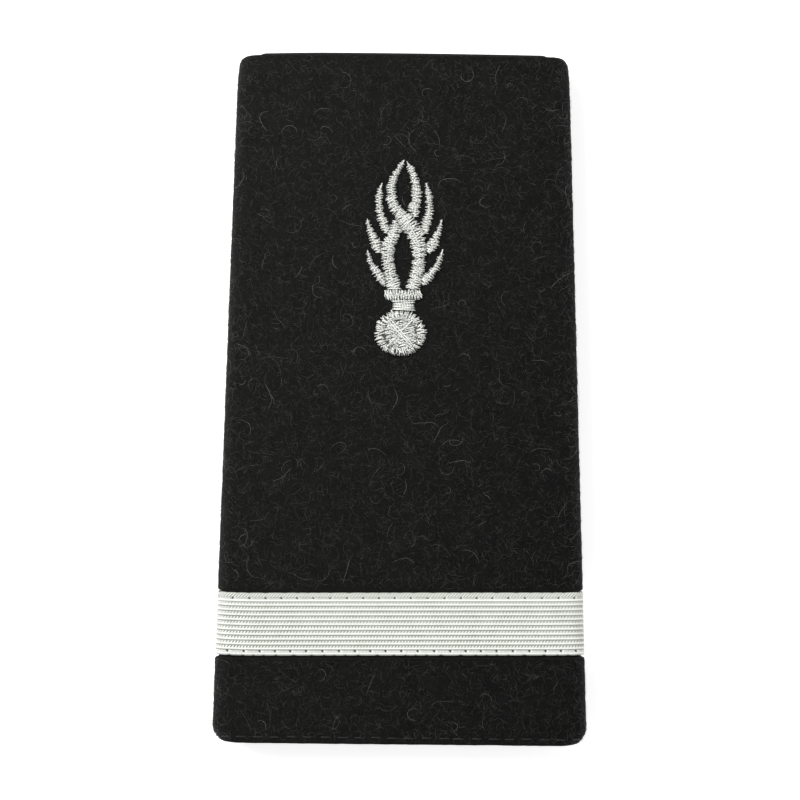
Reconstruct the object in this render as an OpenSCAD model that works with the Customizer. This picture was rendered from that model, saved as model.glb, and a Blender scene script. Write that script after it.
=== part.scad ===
// A shoulder slide: a tapered felt sleeve with a stiffener, a band of braid and an embroidered
// flaming grenade. It lies on its back at z = 0, front face up, narrow neck end towards +Y,
// and the origin is below the middle of its box.

/* [Sleeve] */
// Length of the felt from the wide end to the narrow end
felt_l = 104.3; // [84:0.5:130]
// Width over the side folds at the wide end
wide_w = 57; // [50:0.5:66]
// Width over the side folds at the narrow end
narrow_w = 50.2; // [44:0.1:56]
// Thickness of the felt
felt_t = 1.6; // [1:0.1:2.4]
// Height of the tunnel that the shoulder strap goes through
tunnel_h = 4.6; // [4.4:0.1:8]
// Inside radius of the side folds at the front face
front_fold_r = 0.6; // [0.3:0.1:1.2]
// Inside radius of the side folds at the back
back_fold_r = 2.9; // [1.5:0.1:3.4]
// Corner radius in plan at the wide end
wide_corner_r = 2.6; // [1.2:0.1:4]
// Corner radius in plan at the narrow end
narrow_corner_r = 1.2; // [1:0.1:4]
// How far each side pulls in towards the narrow end, past the straight taper
pull_in = 0.35; // [0:0.05:0.8]
// Length over which the sides pull in
pull_in_l = 5; // [3:0.5:12]
// Rounding of the cut edges
cut_edge_r = 0.3; // [0.1:0.05:0.4]
// Gap between the two edges of the felt at the centre of the back
seam_gap = 0.2; // [0.1:0.05:0.6]
// How far the narrow end bows out, at its highest point
bow = 0.3; // [0.05:0.05:1.2]

/* [Stiffener] */
// Thickness of the stiffener sheet
stiffener_t = 0.8; // [0.5:0.1:1.6]
// How far the sheet stands past the felt at the narrow end
narrow_out = 0.3; // [0.1:0.05:1]
// How far the sheet stands past the felt at the wide end
wide_out = 0.1; // [0.05:0.05:1]
// How much larger the sheet's corner radii are than the felt's
sheet_corner_more = 0.4; // [0.3:0.1:3]
// Clearance between the sheet and the front wall
sheet_gap = 0.1; // [0.05:0.05:0.3]

/* [Braid] */
// Width of the braid
braid_w = 9.8; // [7:0.1:14]
// Thickness of the braid over its ribs
braid_t = 0.5; // [0.35:0.05:0.9]
// Distance from the wide end to the middle of the braid
braid_from_end = 18.1; // [14:0.1:40]
// How far the ribs stand above the felt at the front
braid_proud = 0.15; // [0.05:0.05:0.3]
// Spacing of the grooves
groove_pitch = 0.735; // [0.5:0.005:1.2]
// Depth of the grooves
groove_depth = 0.14; // [0.05:0.01:0.2]
// Width of the plain edge towards the narrow end
selvage_upper = 1.6; // [0.8:0.1:2]
// Width of the plain edge towards the wide end
selvage_lower = 0.85; // [0.6:0.05:2]
// Clearance between the braid and its seat in the felt
braid_gap = 0.05; // [0.02:0.01:0.1]

/* [Grenade] */
// Distance from the wide end to the bottom of the ball
grenade_from_end = 58.9; // [40:0.1:62]
// Width of the ball
ball_w = 7.9; // [5:0.1:11]
// Height of the ball
ball_h = 6.75; // [5:0.05:10]
// Width of the stitched rim round the ball
rim_w = 1.5; // [0.6:0.1:2]
// Width of the neck at its narrowest
neck_w = 3.4; // [2:0.1:5]
// Height of the neck
neck_h = 1.5; // [1:0.1:3]
// Width of the collar
collar_w = 6.1; // [4:0.1:9]
// Height of the collar
collar_h = 1.5; // [1:0.1:3]
// Width of the flame over its outer tongues
flame_w = 11.6; // [8:0.1:16]
// Height of the flame above the collar
flame_h = 19.6; // [14:0.1:26]
// How far the ball stands left of the centre line
ball_left = 0.2; // [0:0.05:1]
// How far the flame and collar stand right of the centre line
flame_right = 0.3; // [0:0.05:1]
// Height of the thickest stitching above the felt
stitch_h = 0.75; // [0.4:0.05:1.2]
// Gap between neighbouring pads of stitching
pad_gap = 0.1; // [0.05:0.01:0.3]
// Clearance between the pads and the felt
pad_seat = 0.05; // [0.02:0.01:0.1]

/* [Hidden] */

felt_colour = "#1f201e";
sheet_colour = "#101010";
braid_colour = "#e9ebe6";
thread_colour = "#d3d5d0";

// The outside of the sleeve
total_l = wide_out + felt_l + bow + narrow_out;
wide_y = -total_l / 2 + wide_out;
narrow_y = wide_y + felt_l;
front_z = 2 * felt_t + tunnel_h + stiffener_t + sheet_gap;
outer_front_r = front_fold_r + felt_t;
outer_back_r = back_fold_r + felt_t;
corner_steps = 6;
fold_steps = 6;
// Share of the corner rounding that the inside of the wall follows, the rest is felt pressed thin
inside_share = 0.7;
// Where the narrow end bows out furthest, as a share of the half width
bow_peak = -0.4;
bow_l = 2 * pull_in_l;
front_spans = 10;

// The braid and its seat
braid_y = wide_y + braid_from_end;
seat_side = braid_t + braid_gap;
seat_front = seat_side - braid_proud;
seat_wall = 0.3;
braid_edge_l = 0.15;
braid_edge_t = 0.6 * braid_t;
groove_n = round((braid_w - selvage_upper - selvage_lower) / groove_pitch) + 1;
groove_step = (braid_w - selvage_upper - selvage_lower) / (groove_n - 1);

// The embroidery, stacked from the ball upwards
ball_y = wide_y + grenade_from_end + ball_h / 2;
neck_y = ball_y + ball_h / 2 + pad_gap;
collar_y = neck_y + neck_h + pad_gap;
flame_y = collar_y + collar_h + pad_gap;
pad_z = front_z + pad_seat;
rim_h = 0.95 * stitch_h;
ball_fill_h = 0.8 * stitch_h;
crown_steps = 6;
ball_sides = 32;

// Half width of the sleeve at y, with the pull-in at the narrow end
function half_at(y) =
  let (
    straight = (wide_w + (narrow_w - wide_w) * (y - wide_y) / felt_l) / 2,
    into = max(0, 1 - (narrow_y - y) / pull_in_l)
  )
  straight - pull_in * into * into;

// How far a corner of radius r has come in, at distance d from the end
function corner_in(r, d) = d >= r ? 0 : r - sqrt(r * r - (r - max(d, 0)) ^ 2);

// How far the narrow end bows out at x
function bow_at(x, half) =
  let (
    s = max(-1, min(1, x / half)),
    t = (s - bow_peak) / (s > bow_peak ? 1 - bow_peak : 1 + bow_peak)
  )
  bow * (1 - t * t);

// Points of an arc
function arc(cx, cz, r, from, to, steps) =
  [for (i = [0:steps]) let (a = from + (to - from) * i / steps) [cx + r * cos(a), cz + r * sin(a)]];

// A section from the seam round the right fold, the front and the left fold, back to the seam
function section(half, lo, hi, r_front, r_back, spans) =
  let (
    fx = half - r_front,
    bx = half - r_back,
    fz = hi - r_front,
    bz = lo + r_back
  )
  concat(
    [[seam_gap / 2, lo]],
    arc(bx, bz, r_back, -90, 0, fold_steps),
    arc(fx, fz, r_front, 0, 90, fold_steps),
    [for (i = [1:1:spans - 1]) [fx - 2 * fx * i / spans, hi]],
    arc(-fx, fz, r_front, 90, 180, fold_steps),
    arc(-bx, bz, r_back, 180, 270, fold_steps),
    [[-seam_gap / 2, lo]]
  );

// The same section at y, its outside pressed in by side, front and back
function pressed(y, half, side, front, back, spans) =
  section(
    half - side, back, front_z - front,
    outer_front_r - max(side, front), outer_back_r - max(side, back), spans
  );

// One ring of points at y, first the outside and then the inside, bent out by the bow
function ring(y, outside, inside, half, share) =
  [
    for (side = [outside, inside])
      for (p = side) [p.x, y + share * bow_at(p.x, half), p.y]
  ];

// Triangles of a quad a, b, c, d
function quad(a, b, c, d) = [[a, b, c], [a, c, d]];

// A wrapped wall: rings of an outside and an inside path of n points each
module wrapped(rings, n) {
  m = len(rings);
  polyhedron(
    points = [for (r = rings) each r],
    faces = concat(
      // Outside, inside and the two long edges at the seam
      [
        for (j = [0:m - 2])
          for (i = [0:2 * n - 1])
            let (
              here = i < n ? i : 3 * n - 1 - i,
              turned = (i + 1) % (2 * n),
              next = turned < n ? turned : 3 * n - 1 - turned
            )
            each quad(
              j * 2 * n + here, j * 2 * n + next,
              (j + 1) * 2 * n + next, (j + 1) * 2 * n + here
            )
      ],
      // The two cut ends
      [for (i = [0:n - 2]) each quad(i, n + i, n + i + 1, i + 1)],
      [
        for (i = [0:n - 2])
          let (k = (m - 1) * 2 * n)
          each quad(k + i, k + i + 1, k + n + i + 1, k + n + i)
      ]
    )
  );
}

// Stations of the sleeve: [distance from the wide end, pressed at the sides, front and back]
corner_shares = [0, 0.035, 0.12, 0.3, 0.6, 1];
wide_stations = [for (s = corner_shares) [s * wide_corner_r, 0, 0, 0]];
seat_stations = [
  for (at = [[-1, -1, 0], [-1, 0, 1], [1, 0, 1], [1, 1, 0]])
    [
      braid_from_end + at[0] * (braid_w / 2 + braid_gap) + at[1] * seat_wall,
      at[2] * seat_side, at[2] * seat_front, at[2] * seat_side
    ]
];
narrow_stations = concat(
  [for (s = [2, 1, 0.6]) [felt_l - s * pull_in_l, 0, 0, 0]],
  [for (i = [0:len(corner_shares) - 1])
    [felt_l - corner_shares[len(corner_shares) - 1 - i] * narrow_corner_r, 0, 0, 0]]
);
felt_stations = concat(wide_stations, seat_stations, narrow_stations);

// Felt folded into a flat tube, its edges meeting at the centre of the back
module felt_cover() {
  n = len(section(1, 0, 1, 0.1, 0.1, front_spans));
  rings = [
    for (s = felt_stations)
      let (
        y = wide_y + s[0],
        to_wide = s[0],
        to_narrow = felt_l - s[0],
        half = half_at(y),
        rounded = corner_in(wide_corner_r, to_wide) + corner_in(narrow_corner_r, to_narrow),
        soft = corner_in(cut_edge_r, to_wide) + corner_in(cut_edge_r, to_narrow),
        bent = max(0, 1 - to_narrow / bow_l)
      )
      ring(
        y,
        pressed(y, half - rounded, s[1] + soft, s[2] + soft, s[3] + soft, front_spans),
        pressed(y, half - inside_share * rounded, felt_t, felt_t, felt_t, front_spans),
        half, bent
      )
  ];
  color(felt_colour) wrapped(rings, n);
}

// Corner radii of the stiffener
sheet_wide_r = wide_corner_r + sheet_corner_more;
sheet_narrow_r = narrow_corner_r + sheet_corner_more;

// Half width of the stiffener, whose long edges stop where the folds start
function sheet_half(y) = half_at(y) - felt_t - front_fold_r;

// Sheet inside the sleeve, against the front wall
module stiffener() {
  y0 = wide_y - wide_out;
  y1 = narrow_y + narrow_out;
  right = concat(
    [
      for (i = [0:corner_steps])
        let (a = 90 * i / corner_steps, y = y0 + sheet_wide_r * (1 - cos(a)))
        [sheet_half(y) - sheet_wide_r * (1 - sin(a)), y]
    ],
    [[sheet_half(narrow_y - pull_in_l), narrow_y - pull_in_l]],
    [
      for (i = [0:corner_steps])
        let (a = 90 * i / corner_steps, y = y1 - sheet_narrow_r * (1 - sin(a)))
        [sheet_half(y) - sheet_narrow_r * (1 - cos(a)), y]
    ]
  );
  top = right[len(right) - 1].x;
  narrow_edge = [
    for (i = [1:front_spans - 1])
      let (x = top - 2 * top * i / front_spans)
      [x, y1 + bow_at(x, half_at(narrow_y))]
  ];
  left = [for (i = [len(right) - 1:-1:0]) [-right[i].x, right[i].y]];
  bent_right = [for (p = right) [p.x, p.y + sheet_bend(p)]];
  bent_left = [for (p = left) [p.x, p.y + sheet_bend(p)]];
  color(sheet_colour)
    translate([0, 0, felt_t + tunnel_h])
      linear_extrude(stiffener_t)
        polygon(concat(bent_right, narrow_edge, bent_left));
}

// How far a point of the sheet's outline is carried out by the bow
function sheet_bend(p) =
  max(0, 1 - (narrow_y + narrow_out - p.y) / bow_l) * bow_at(p.x, half_at(narrow_y));

// Stations across the braid: [distance from its lower edge, thickness there]
braid_stations = concat(
  [[0, braid_edge_t], [braid_edge_l, braid_t]],
  [
    for (i = [0:groove_n - 1])
      let (y = selvage_lower + i * groove_step)
      each (
        i < groove_n - 1
        ? [[y, braid_t - groove_depth], [y + groove_step / 2, braid_t]]
        : [[y, braid_t - groove_depth]]
      )
  ],
  [
    [braid_w - selvage_upper + groove_step / 2, braid_t],
    [braid_w - braid_edge_l, braid_t],
    [braid_w, braid_edge_t]
  ]
);

// Ribbed band round the sleeve, in the seat pressed into the felt
module braid() {
  n = len(section(1, 0, 1, 0.1, 0.1, 1));
  rings = [
    for (s = braid_stations)
      let (
        y = braid_y - braid_w / 2 + s[0],
        half = half_at(y),
        low = braid_gap - seat_side
      )
      ring(
        y,
        pressed(y, half, -low - s[1], seat_front - braid_gap - s[1], -low - s[1], 1),
        pressed(y, half, -low, seat_front - braid_gap, -low, 1),
        half, 0
      )
  ];
  color(braid_colour) wrapped(rings, n);
}

// Slope of column c of a table at row i, along column 0
function slope(t, i, c) =
  let (a = max(0, i - 1), b = min(len(t) - 1, i + 1))
  (t[b][c] - t[a][c]) / (t[b][0] - t[a][0]);

// Smooth value of column c of a table at v, along column 0
function smooth(t, v, c) =
  let (
    inside = max(t[0][0], min(t[len(t) - 1][0], v)),
    i = max([for (k = [0:len(t) - 2]) t[k][0] <= inside ? k : 0]),
    h = t[i + 1][0] - t[i][0],
    u = (inside - t[i][0]) / h,
    a = t[i][c],
    b = t[i + 1][c]
  )
  a * (1 + 2 * u) * (1 - u) ^ 2 + b * u * u * (3 - 2 * u)
  + h * slope(t, i, c) * u * (1 - u) ^ 2 - h * slope(t, i + 1, c) * u * u * (1 - u);

// The flame's pieces, a row for each section from the bottom up:
// [share of the flame's height, left edge and right edge as shares of its half width]
strand_rows = [
  [0, 0.07, 0.4], [0.05, 0.1, 0.45], [0.11, 0.17, 0.49], [0.16, 0.22, 0.54],
  [0.24, 0.25, 0.58], [0.32, 0.2, 0.58], [0.38, 0.14, 0.56], [0.43, 0.04, 0.52],
  [0.5, -0.12, 0.41], [0.56, -0.24, 0.24], [0.61, -0.36, 0.02], [0.65, -0.42, -0.12],
  [0.7, -0.46, -0.2], [0.76, -0.46, -0.22], [0.81, -0.44, -0.21], [0.87, -0.37, -0.17],
  [0.92, -0.27, -0.11], [0.97, -0.12, -0.01], [1, -0.04, 0.03]
];
arm_upper_rows = [
  [0.56, 0.28, 0.35], [0.62, 0.07, 0.39], [0.65, 0.13, 0.43], [0.7, 0.18, 0.45],
  [0.76, 0.2, 0.44], [0.81, 0.19, 0.4], [0.87, 0.15, 0.34], [0.92, 0.1, 0.28], [0.98, 0.04, 0.12]
];
arm_lower_rows = [
  [0, -0.42, -0.04], [0.05, -0.46, -0.11], [0.11, -0.48, -0.16], [0.16, -0.53, -0.22],
  [0.22, -0.57, -0.25], [0.3, -0.6, -0.27], [0.38, -0.53, -0.17], [0.43, -0.42, -0.07],
  [0.48, -0.35, -0.06], [0.53, -0.3, -0.18]
];
tongue_left_1_rows = [
  [0.43, -0.49, -0.38], [0.49, -0.62, -0.37], [0.54, -0.68, -0.45],
  [0.6, -0.72, -0.55], [0.68, -0.75, -0.57], [0.76, -0.71, -0.57], [0.82, -0.6, -0.56]
];
tongue_left_2_rows = [
  [0.28, -0.7, -0.62], [0.32, -0.82, -0.59], [0.38, -0.9, -0.63],
  [0.43, -0.95, -0.75], [0.49, -0.98, -0.86], [0.54, -0.98, -0.94]
];
tongue_left_3_rows = [
  [0.02, -0.53, -0.46], [0.07, -0.71, -0.48], [0.13, -0.82, -0.54],
  [0.18, -0.9, -0.73], [0.24, -0.96, -0.86], [0.3, -0.97, -0.93]
];
tongue_right_1_rows = [
  [0.43, 0.54, 0.6], [0.49, 0.43, 0.67], [0.54, 0.5, 0.72],
  [0.6, 0.57, 0.76], [0.68, 0.58, 0.74], [0.76, 0.56, 0.69], [0.82, 0.55, 0.59]
];
tongue_right_2_rows = [
  [0.28, 0.61, 0.7], [0.32, 0.58, 0.86], [0.38, 0.64, 0.91],
  [0.43, 0.79, 0.96], [0.49, 0.9, 0.99], [0.54, 0.97, 1.01]
];
tongue_right_3_rows = [
  [0.03, 0.47, 0.56], [0.09, 0.47, 0.77], [0.14, 0.64, 0.87],
  [0.19, 0.79, 0.96], [0.26, 0.91, 1.02], [0.31, 1, 1.04]
];

// Smallest width of a pad, at its tips
tip_w = 0.14;

// Edge c of the named rows at height share v, in mm from the flame's axis
function edge(rows, v, c) = smooth(rows, v, c) * flame_w / 2;

// A flame piece's sections, kept clear of what lies to the left and the right of it
function flame_sections(rows, steps, left_of = [], right_of = []) =
  let (v0 = rows[0][0], v1 = rows[len(rows) - 1][0])
  [
    for (i = [0:steps])
      let (
        v = v0 + (v1 - v0) * i / steps,
        wall_l = len(right_of) && v <= right_of[len(right_of) - 1][0]
          ? edge(right_of, v, 2) + pad_gap : -flame_w,
        wall_r = len(left_of) && v <= left_of[len(left_of) - 1][0]
          ? edge(left_of, v, 1) - pad_gap : flame_w,
        l = min(max(edge(rows, v, 1), wall_l), wall_r - tip_w),
        r = max(min(edge(rows, v, 2), wall_r), l + tip_w)
      )
      [flame_y + v * flame_h, flame_right + l, flame_right + r]
  ];

// A crowned pad of stitching over sections of [y, left edge, right edge], lower where narrow
module pad(sections, top) {
  n = crown_steps + 3;
  m = len(sections);
  edge_h = 0.3;
  points = [
    for (s = sections)
      let (w = s[2] - s[1], mid = (s[1] + s[2]) / 2, h = top * min(1, 0.35 + 0.4 * w))
      each concat(
        [
          for (i = [0:crown_steps])
            let (a = 180 * i / crown_steps)
            [mid - w / 2 * cos(a), s[0], pad_z + h * (edge_h + (1 - edge_h) * sin(a))]
        ],
        [[s[2], s[0], pad_z], [s[1], s[0], pad_z]]
      )
  ];
  color(thread_colour)
    polyhedron(
      points = points,
      faces = concat(
        [
          for (j = [0:m - 2])
            for (i = [0:n - 1])
              let (k = (i + 1) % n)
              each quad(j * n + i, (j + 1) * n + i, (j + 1) * n + k, j * n + k)
        ],
        [for (i = [1:n - 2]) [0, i, i + 1]],
        [for (i = [1:n - 2]) let (k = (m - 1) * n) [k, k + i + 1, k + i]]
      )
    );
}

// Round shell of the grenade: a stitched rim round a lower, gently crowned middle
module grenade_ball() {
  r = ball_w / 2;
  inside_r = r - rim_w;
  profile = concat(
    [[r, 0]],
    [
      for (i = [0:crown_steps])
        let (a = 180 * i / crown_steps)
        [r - rim_w / 2 + rim_w / 2 * cos(a), rim_h * (0.25 + 0.75 * sin(a))]
    ],
    [[0.95 * inside_r, 0.85 * ball_fill_h], [0.5 * inside_r, 0.96 * ball_fill_h]]
  );
  n = ball_sides;
  m = len(profile);
  points = [
    for (p = profile)
      for (i = [0:n - 1])
        let (a = 360 * i / n)
        [p.x * cos(a) - ball_left, ball_y + p.x * ball_h / ball_w * sin(a), pad_z + p.y]
  ];
  crown = [-ball_left, ball_y, pad_z + ball_fill_h];
  foot = [-ball_left, ball_y, pad_z];
  color(thread_colour)
    polyhedron(
      points = concat(points, [crown, foot]),
      faces = concat(
        [
          for (j = [0:m - 2])
            for (i = [0:n - 1])
              let (k = (i + 1) % n)
              each quad(j * n + i, (j + 1) * n + i, (j + 1) * n + k, j * n + k)
        ],
        [for (i = [0:n - 1]) [(m - 1) * n + i, m * n, (m - 1) * n + (i + 1) % n]],
        [for (i = [0:n - 1]) [(i + 1) % n, m * n + 1, i]]
      )
    );
}

// Waisted stitching between the ball and the collar
module grenade_neck() {
  flare = 0.15;
  pad(
    [
      for (i = [0:4])
        let (s = i / 4, half = neck_w / 2 * (1 + flare * (2 * s - 1) ^ 2))
        [neck_y + s * neck_h, flame_right - half, flame_right + half]
    ],
    0.85 * stitch_h
  );
}

// Flared bar of upright stitches under the flame
module grenade_collar() {
  flare = 0.08;
  pad(
    [
      for (i = [0:4])
        let (s = i / 4, half = collar_w / 2 * (1 - flare + flare * s))
        [collar_y + s * collar_h, flame_right - half, flame_right + half]
    ],
    stitch_h
  );
}

module flame_strand() pad(flame_sections(strand_rows, 26), stitch_h);

module flame_arm_upper()
  pad(flame_sections(arm_upper_rows, 14, right_of = strand_rows), 0.9 * stitch_h);

module flame_arm_lower()
  pad(flame_sections(arm_lower_rows, 14, left_of = strand_rows), 0.9 * stitch_h);

module flame_tongue_left_1()
  pad(flame_sections(tongue_left_1_rows, 9, left_of = arm_lower_rows), 0.8 * stitch_h);

module flame_tongue_left_2()
  pad(flame_sections(tongue_left_2_rows, 8, left_of = arm_lower_rows), 0.8 * stitch_h);

module flame_tongue_left_3()
  pad(flame_sections(tongue_left_3_rows, 8, left_of = arm_lower_rows), 0.8 * stitch_h);

module flame_tongue_right_1()
  pad(flame_sections(tongue_right_1_rows, 9, right_of = strand_rows), 0.8 * stitch_h);

module flame_tongue_right_2()
  pad(flame_sections(tongue_right_2_rows, 8, right_of = strand_rows), 0.8 * stitch_h);

module flame_tongue_right_3()
  pad(flame_sections(tongue_right_3_rows, 8, right_of = strand_rows), 0.8 * stitch_h);

felt_cover();
stiffener();
braid();
grenade_ball();
grenade_neck();
grenade_collar();
flame_strand();
flame_arm_upper();
flame_arm_lower();
flame_tongue_left_1();
flame_tongue_left_2();
flame_tongue_left_3();
flame_tongue_right_1();
flame_tongue_right_2();
flame_tongue_right_3();
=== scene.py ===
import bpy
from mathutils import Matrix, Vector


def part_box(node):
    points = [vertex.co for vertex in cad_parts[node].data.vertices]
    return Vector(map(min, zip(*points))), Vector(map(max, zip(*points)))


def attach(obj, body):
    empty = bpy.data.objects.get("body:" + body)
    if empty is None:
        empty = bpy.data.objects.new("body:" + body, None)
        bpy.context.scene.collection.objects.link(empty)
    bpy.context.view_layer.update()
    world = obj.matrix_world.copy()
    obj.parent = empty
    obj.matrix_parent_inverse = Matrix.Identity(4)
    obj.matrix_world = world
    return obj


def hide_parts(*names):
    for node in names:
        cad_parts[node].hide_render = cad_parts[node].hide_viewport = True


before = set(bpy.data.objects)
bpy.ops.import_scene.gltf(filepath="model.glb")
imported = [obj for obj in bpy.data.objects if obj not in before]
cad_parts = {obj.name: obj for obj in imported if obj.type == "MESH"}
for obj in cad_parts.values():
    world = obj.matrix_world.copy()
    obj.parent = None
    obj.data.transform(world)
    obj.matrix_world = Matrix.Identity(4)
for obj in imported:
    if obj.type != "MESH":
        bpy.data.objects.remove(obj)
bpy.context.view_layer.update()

import math

import bpy
import numpy as np
from mathutils import Vector

mm = 0.001
rng = np.random.default_rng(41)


def pickOnly(thing):
    bpy.ops.object.select_all(action="DESELECT")
    thing.select_set(True)
    bpy.context.view_layer.objects.active = thing


def inEditMode(thing, *steps):  # each step acts on the whole mesh
    pickOnly(thing)
    bpy.ops.object.mode_set(mode="EDIT")
    for step, settings in steps:
        bpy.ops.mesh.select_all(action="SELECT")
        step(**settings)
    bpy.ops.object.mode_set(mode="OBJECT")


mergeDoubles = (bpy.ops.mesh.remove_doubles, {"threshold": 0.001 * mm})
closeEnds = (bpy.ops.mesh.fill_holes, {"sides": 0})
turnOutwards = (bpy.ops.mesh.normals_make_consistent, {"inside": False})


def smoothStep(low, high, value):
    share = np.clip((value - low) / (high - low), 0, 1)
    return share * share * (3 - 2 * share)


def wave(turns):  # between 0 and 1, once for each whole number
    return 0.5 + 0.5 * np.cos(turns * 2 * math.pi)


def bell(value, centre, width, power):
    return np.exp(-((value - centre) / width) ** power)


def scatter(most, shape):
    return rng.uniform(-most, most, shape)


def zigzag(count):  # -1 and 1 in turn
    return np.where(np.arange(count) % 2, 1, -1)


def headings(angles):
    return np.column_stack([np.cos(angles), np.sin(angles)])


# Camera

photo = {
    "lens": 180,
    "sensor": 36,
    "span": 121.22 * mm,  # what the picture's width takes in at the front face
    "aim": (-0.24 * mm, -0.22 * mm),
    "roll": math.radians(0.38),
}

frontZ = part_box("felt_cover")[1][2]


def makeCamera():
    height = photo["span"] * photo["lens"] / photo["sensor"]
    bpy.ops.object.camera_add(location=(*photo["aim"], frontZ + height), rotation=(0, 0, photo["roll"]))
    camera = bpy.context.object
    camera.name = "camera"
    camera.data.lens = photo["lens"]
    camera.data.sensor_width = photo["sensor"]
    camera.data.clip_start = 1 * mm
    bpy.context.scene.camera = camera


makeCamera()
print("slide: camera placed")


# Nodes, and shader sockets that add their own maths nodes

def plug(tree, node, name, value):  # value: a number, a colour, a socket or a Signal
    value = getattr(value, "socket", value)
    if isinstance(value, bpy.types.NodeSocket):
        tree.links.new(value, node.inputs[name])
    else:
        node.inputs[name].default_value = value


def addNode(tree, kind, settings={}, values={}):
    node = tree.nodes.new(kind)
    for name, value in settings.items():
        setattr(node, name, value)
    for name, value in values.items():
        plug(tree, node, name, value)
    return node


def operators(operation):  # a Signal's operator and its reflected form
    def plain(self, other):
        return self.maths(operation, self, other)

    def reflected(self, other):
        return self.maths(operation, other, self)

    return plain, reflected


class Signal:
    def __init__(self, finish, socket):
        self.finish = finish
        self.socket = socket

    def maths(self, operation, *values):
        return self.finish.node("ShaderNodeMath", {"operation": operation}, dict(enumerate(values)))

    __add__, __radd__ = operators("ADD")
    __sub__, __rsub__ = operators("SUBTRACT")
    __mul__, __rmul__ = operators("MULTIPLY")
    __truediv__, __rtruediv__ = operators("DIVIDE")
    __pow__, __rpow__ = operators("POWER")

    def __abs__(self):
        return self.maths("ABSOLUTE", self)

    def clamped(self):
        return self.maths("MINIMUM", self.maths("MAXIMUM", self, 0), 1)

    def larger(self, other):
        return self.maths("MAXIMUM", self, other)

    def wave(self):
        return self.maths("COSINE", self * (2 * math.pi)) * 0.5 + 0.5

    def bell(self, centre, width, power):
        return self.maths("EXPONENT", abs((self - centre) / width) ** power * -1)

    def eased(self, low, high):
        settings = {"interpolation_type": "SMOOTHSTEP"}
        return self.finish.node("ShaderNodeMapRange", settings, {0: self, 1: low, 2: high})

    def pastLimit(self, limit, before, after):  # one value up to the limit and another past it
        past = self.maths("GREATER_THAN", self, limit)
        return before * (1 - past) + after * past


class Finish:
    def __init__(self, name):
        self.material = bpy.data.materials.new(name)
        self.material.use_nodes = True
        self.tree = self.material.node_tree
        self.tree.nodes.clear()
        self.shader = addNode(self.tree, "ShaderNodeBsdfPrincipled")
        addNode(self.tree, "ShaderNodeOutputMaterial", {}, {"Surface": self.shader.outputs[0]})

    def node(self, kind, settings={}, values={}, output=0):
        return Signal(self, addNode(self.tree, kind, settings, values).outputs[output])

    def set(self, **values):
        for name, value in values.items():
            plug(self.tree, self.shader, shaderSockets[name], value)

    def place(self):
        return self.node("ShaderNodeTexCoord", output="Object")

    def placeInMm(self):
        values = {"Vector": self.place(), "Scale": 1 / mm}
        return self.node("ShaderNodeVectorMath", {"operation": "SCALE"}, values)

    def noise(self, vector, scale, detail=0.0):
        return self.node("ShaderNodeTexNoise", {}, {"Vector": vector, "Scale": scale, "Detail": detail})

    def mixed(self, factor, first, second):
        return self.node("ShaderNodeMix", {"data_type": "RGBA"}, {0: factor, 6: first, 7: second}, 2)

    def grey(self, value):
        return self.node("ShaderNodeCombineColor", {}, {0: value, 1: value, 2: value})

    def part(self, vector, axis):
        return self.node("ShaderNodeSeparateXYZ", {}, {"Vector": vector}, axis)

    def attribute(self, name):
        return self.node("ShaderNodeAttribute", {"attribute_name": name}, {}, "Fac")

    def bump(self, height, strength, distance):
        values = {"Height": height, "Strength": strength, "Distance": distance}
        return self.node("ShaderNodeBump", {}, values)


shaderSockets = {
    "colour": "Base Color",
    "roughness": "Roughness",
    "specular": "Specular IOR Level",
    "sheen": "Sheen Weight",
    "sheenRoughness": "Sheen Roughness",
    "normal": "Normal",
    "emission": "Emission Color",
    "emissionStrength": "Emission Strength",
}


# Floor, world and lamps

studio = {
    "floorSize": 4.0,
    "floorDrop": 0.35 * mm,  # the sleeve lies on the tips of its fibres
    "floorShare": 0.86,  # how much of the light the floor sends back
    "floorGlow": 0.6,
    "worldColour": (1.0, 1.0, 1.0, 1),
    "worldStrength": 0.47,
    "lamps": [  # name, place, size and power
        ("keyLamp", (-0.42, 0.36, 0.62), 0.5, 6.2),
        ("fillLamp", (0.55, -0.1, 0.45), 0.6, 1.1),
    ],
}


def floorFinish():
    floor = Finish("paleFloor")
    grain = floor.noise(floor.place(), 9.0, 2.0)
    tone = 0.985 + 0.03 * grain
    floor.set(
        colour=floor.grey(tone * studio["floorShare"]), roughness=0.9, specular=0.1,
        emission=floor.grey(tone), emissionStrength=studio["floorGlow"],
    )
    return floor.material


def makeLamp(name, spot, size, power):
    aim = -Vector(spot)
    bpy.ops.object.light_add(type="AREA", location=spot, rotation=aim.to_track_quat("-Z", "Y").to_euler())
    lamp = bpy.context.object
    lamp.name = name
    lamp.data.shape = "DISK"
    lamp.data.size = size
    lamp.data.energy = power


def makeStudio():
    bpy.ops.mesh.primitive_plane_add(size=studio["floorSize"], location=(0, 0, -studio["floorDrop"]))
    floor = bpy.context.object
    floor.name = "floor"
    floor.data.materials.append(floorFinish())
    world = bpy.data.worlds.new("softBox")
    world.use_nodes = True
    background = world.node_tree.nodes["Background"]
    background.inputs["Color"].default_value = studio["worldColour"]
    background.inputs["Strength"].default_value = studio["worldStrength"]
    bpy.context.scene.world = world
    bpy.context.scene.view_settings.view_transform = "Standard"
    for lamp in studio["lamps"]:
        makeLamp(*lamp)


makeStudio()
print("slide: floor and lamps placed")


# The sleeve's section, read from the frame: arc length round it from the middle of the front

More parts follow.
